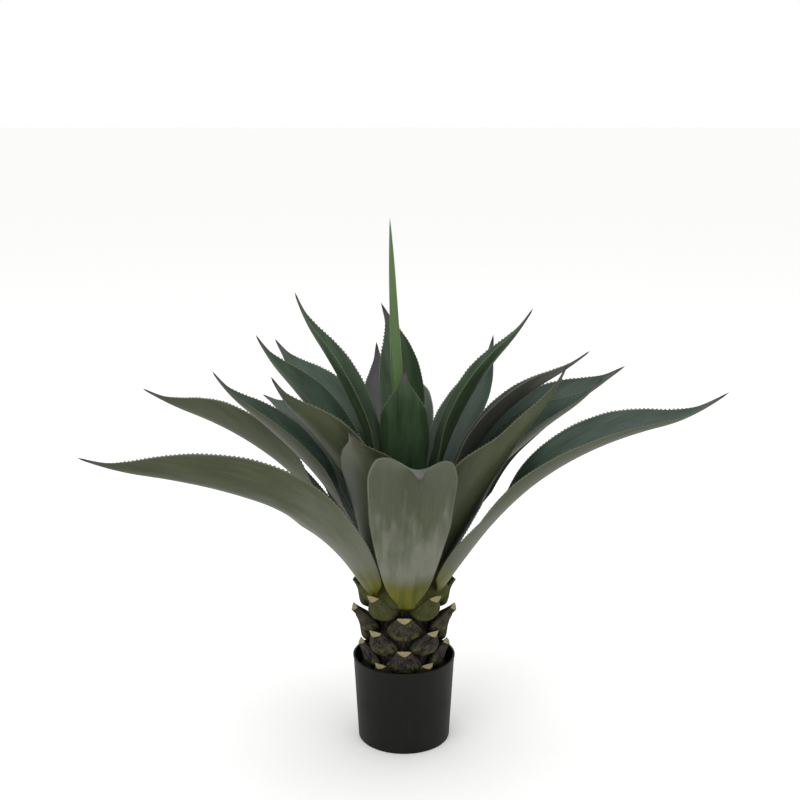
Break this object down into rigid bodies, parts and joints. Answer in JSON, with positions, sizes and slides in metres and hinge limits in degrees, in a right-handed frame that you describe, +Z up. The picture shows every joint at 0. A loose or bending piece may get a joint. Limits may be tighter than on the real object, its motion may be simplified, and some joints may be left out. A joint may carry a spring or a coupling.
{
  "type": "potted agave",
  "caption": "Potted rosette succulent: stiff toothed leaves and a central spear on a short stem clad in cut leaf bases, in a plain tapered nursery pot.",
  "frame": {"origin": "centre of the pot's flat underside, on the floor", "axes": "+Z up along the pot's axis; -Y is the front, where the broad lowest leaf points; +X to the right, along the widest spread of the leaves"},
  "size_m": [0.9469, 0.7795, 0.8539],
  "materials": {
    "pot": "matte",
    "potting_mix": "matte",
    "stem": "matte",
    "spear": "satin",
    "leaf": "satin",
    "leaf_stub": "matte"
  },
  "bodies": {
    "root": {"pot": "pot", "potting_mix": "potting_mix", "stem": "stem", "central_spear": "spear", "leaf_01": "leaf", "leaf_02": "leaf", "leaf_03": "leaf", "leaf_04": "leaf", "leaf_05": "leaf", "leaf_06": "leaf", "leaf_07": "leaf", "leaf_08": "leaf", "leaf_09": "leaf", "leaf_10": "leaf", "leaf_11": "leaf", "leaf_12": "leaf", "leaf_13": "leaf", "leaf_14": "leaf", "leaf_15": "leaf", "leaf_16": "leaf", "leaf_17": "leaf", "leaf_18": "leaf", "leaf_19": "leaf", "leaf_20": "leaf", "leaf_21": "leaf", "leaf_22": "leaf", "leaf_stub_11": "leaf_stub", "leaf_stub_12": "leaf_stub", "leaf_stub_13": "leaf_stub", "leaf_stub_14": "leaf_stub", "leaf_stub_15": "leaf_stub", "leaf_stub_21": "leaf_stub", "leaf_stub_22": "leaf_stub", "leaf_stub_23": "leaf_stub", "leaf_stub_24": "leaf_stub", "leaf_stub_25": "leaf_stub", "leaf_stub_31": "leaf_stub", "leaf_stub_32": "leaf_stub", "leaf_stub_33": "leaf_stub", "leaf_stub_34": "leaf_stub", "leaf_stub_35": "leaf_stub", "leaf_stub_41": "leaf_stub", "leaf_stub_42": "leaf_stub", "leaf_stub_43": "leaf_stub", "leaf_stub_44": "leaf_stub", "leaf_stub_45": "leaf_stub", "leaf_stub_51": "leaf_stub", "leaf_stub_52": "leaf_stub", "leaf_stub_53": "leaf_stub", "leaf_stub_54": "leaf_stub", "leaf_stub_55": "leaf_stub"}
  },
  "joints": []
}
